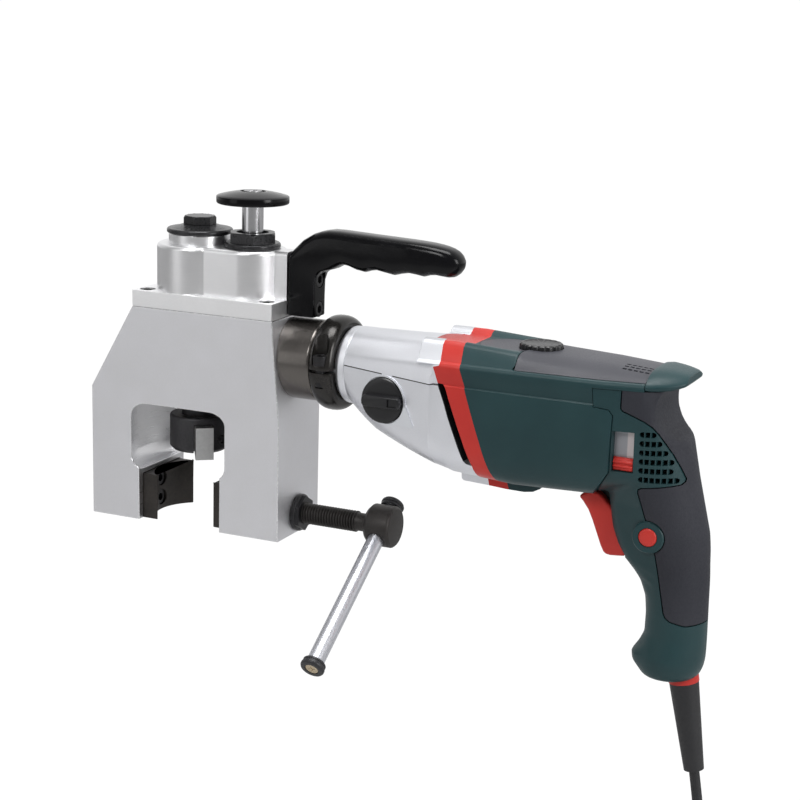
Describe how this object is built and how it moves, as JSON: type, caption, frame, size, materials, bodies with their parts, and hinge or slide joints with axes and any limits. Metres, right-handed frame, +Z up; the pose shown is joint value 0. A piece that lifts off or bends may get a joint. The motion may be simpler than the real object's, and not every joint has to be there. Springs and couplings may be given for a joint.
{
  "type": "pipe bevelling machine",
  "caption": "Pipe-end bevelling head that clamps on the outside of a pipe, with screw-closed jaws, a fed cutter spindle and a carry handle, driven by a corded pistol-grip drill.",
  "frame": {"origin": "on the axis of the clamped pipe, in the plane of the bottom faces of the two legs", "axes": "+X along the drive axis towards the drill, +Y towards the back, +Z up along the pipe"},
  "size_m": [0.4562, 0.1397, 0.5644],
  "materials": {
    "body_paint": "fine silver-grey paint on machined steel",
    "machined": "machined aluminium, fine tool marks",
    "cast": "smooth die casting, satin",
    "black_steel": "black oxide, slightly oiled",
    "bright_steel": "ground and polished steel",
    "gear_steel": "cut gear steel",
    "bronze": "bronze and bearing steel, oiled",
    "black_plastic": "gloss black moulding",
    "green_plastic": "dark green moulding, fine grain",
    "grey_plastic": "dark grey moulding",
    "red_plastic": "red moulding",
    "soft_grip": "soft dark grip",
    "lead_rubber": "black flexible sheath",
    "winding": "laminations and copper winding"
  },
  "bodies": {
    "machine": {"main_body": "body_paint", "gear_cover": "machined", "socket_screws": "black_steel", "head_bearings": "bronze", "gland_nut": "black_steel", "fixed_jaw": "black_steel", "screw_bush": "black_steel", "carry_handle": "black_plastic", "drive_adapter": "black_steel", "clamp_collar": "black_steel", "drill_bearings": "bronze", "stator": "winding", "carbon_brushes": "bronze", "gearbox_housing": "cast", "trim_band": "red_plastic", "motor_housing": "green_plastic", "top_cover": "grey_plastic", "tail_cap": "green_plastic", "handle_shell_left": "green_plastic", "handle_shell_right": "green_plastic", "grip_pad": "soft_grip", "slider_plate": "bright_steel", "switch_block": "grey_plastic", "shell_screws": "bright_steel", "cord_ring": "red_plastic", "cord_boot": "lead_rubber", "mains_cord": "lead_rubber", "cord_coil": "lead_rubber", "coil_tie": "grey_plastic", "mains_plug": "lead_rubber"},
    "crown": {"crown_gear": "gear_steel"},
    "spindle": {"cutter_spindle": "gear_steel", "cutter_head": "black_steel", "tool_bits": "bright_steel", "tool_screws": "black_steel"},
    "feed_drive": {"feed_sleeve": "gear_steel", "feed_washer": "black_steel", "feed_bolt": "black_steel"},
    "plunger": {"plunger_rod": "bright_steel", "plunger_knob": "black_plastic", "knob_screw": "bright_steel"},
    "shift": {"shift_gear": "gear_steel"},
    "drive_shaft": {"drive_pinion": "gear_steel", "drill_spindle": "gear_steel"},
    "low_wheel": {"low_gear": "gear_steel"},
    "high_wheel": {"high_gear": "gear_steel"},
    "lay_shaft": {"gear_shaft": "gear_steel"},
    "rotor": {"armature": "winding", "cooling_fan": "grey_plastic"},
    "jaw": {"moving_jaw": "black_steel"},
    "screw": {"clamp_screw": "black_steel"},
    "bar": {"tommy_bar": "bright_steel", "bar_caps": "black_plastic", "bar_cap_screws": "bronze"},
    "selector": {"gear_selector": "black_plastic"},
    "dial": {"speed_dial": "black_plastic"},
    "trigger_lever": {"trigger": "red_plastic"},
    "lock": {"lock_button": "red_plastic"},
    "direction": {"direction_slider": "red_plastic"}
  },
  "joints": [
    {"name": "drive_spin", "type": "hinge", "parent": "machine", "child": "drive_shaft", "pos_m": [0.06, 0, 0.1187], "axis": [1, 0, 0], "continuous": true},
    {"name": "cutter_spin", "type": "hinge", "parent": "machine", "child": "crown", "pos_m": [0, 0, 0.1], "axis": [0, 0, 1], "continuous": true},
    {"name": "feed_slide", "type": "slide", "parent": "crown", "child": "spindle", "axis": [0, 0, 1], "range_m": [-0.012, 0.008]},
    {"name": "feed_turn", "type": "hinge", "parent": "crown", "child": "feed_drive", "pos_m": [0, 0, 0.18], "axis": [0, 0, 1], "range_deg": [-4320, 2880]},
    {"name": "plunger_slide", "type": "slide", "parent": "machine", "child": "plunger", "axis": [0, 0, 1], "range_m": [-0.01, 0]},
    {"name": "shift_spin", "type": "hinge", "parent": "plunger", "child": "shift", "pos_m": [0.0397, 0, 0.17], "axis": [0, 0, 1], "continuous": true},
    {"name": "rotor_spin", "type": "hinge", "parent": "machine", "child": "rotor", "pos_m": [0.25, 0, 0.094], "axis": [1, 0, 0], "continuous": true},
    {"name": "lay_spin", "type": "hinge", "parent": "machine", "child": "lay_shaft", "pos_m": [0.16, 0.01552, 0.09788], "axis": [1, 0, 0], "continuous": true},
    {"name": "low_spin", "type": "hinge", "parent": "machine", "child": "low_wheel", "pos_m": [0.153, 0, 0.1187], "axis": [1, 0, 0], "continuous": true},
    {"name": "high_spin", "type": "hinge", "parent": "machine", "child": "high_wheel", "pos_m": [0.163, 0, 0.1187], "axis": [1, 0, 0], "continuous": true},
    {"name": "jaw_slide", "type": "slide", "parent": "machine", "child": "jaw", "axis": [1, 0, 0], "range_m": [-0.0005, 0.00111]},
    {"name": "screw_turn", "type": "hinge", "parent": "jaw", "child": "screw", "pos_m": [0.1, 0, 0.0135], "axis": [1, 0, 0], "range_deg": [-92, 202]},
    {"name": "bar_slide", "type": "slide", "parent": "screw", "child": "bar", "axis": [0, 0.8339, 0.5519], "range_m": [0, 0.099]},
    {"name": "selector_turn", "type": "hinge", "parent": "machine", "child": "selector", "pos_m": [0.1509, -0.03, 0.1052], "axis": [0, 1, 0], "range_deg": [0, 180]},
    {"name": "dial_turn", "type": "hinge", "parent": "machine", "child": "dial", "pos_m": [0.2426, 0, 0.147], "axis": [0, 0, 1], "range_deg": [0, 270]},
    {"name": "trigger_pull", "type": "hinge", "parent": "machine", "child": "trigger_lever", "pos_m": [0.285, 0, 0.057], "axis": [0, -1, 0], "range_deg": [0, 9], "stiffness_Nm_per_rad": 1, "springref_deg": -5.73},
    {"name": "lock_press", "type": "slide", "parent": "machine", "child": "lock", "axis": [0, 1, 0], "range_m": [0, 0.002], "stiffness_N_per_m": 800, "springref_m": -0.002},
    {"name": "direction_slide", "type": "slide", "parent": "machine", "child": "direction", "axis": [0, 0, 1], "range_m": [0, 0.016]}
  ],
  "couplings": [
    {"joint": "cutter_spin", "follows": "drive_spin", "ratio": 0.25},
    {"joint": "feed_slide", "follows": "feed_turn", "m_per_rad": 0.00015915},
    {"joint": "lay_spin", "follows": "rotor_spin", "ratio": -0.33333},
    {"joint": "low_spin", "follows": "rotor_spin", "ratio": 0.1},
    {"joint": "high_spin", "follows": "rotor_spin", "ratio": 0.28571},
    {"joint": "screw_turn", "follows": "jaw_slide", "rad_per_m": 3141.6}
  ]
}
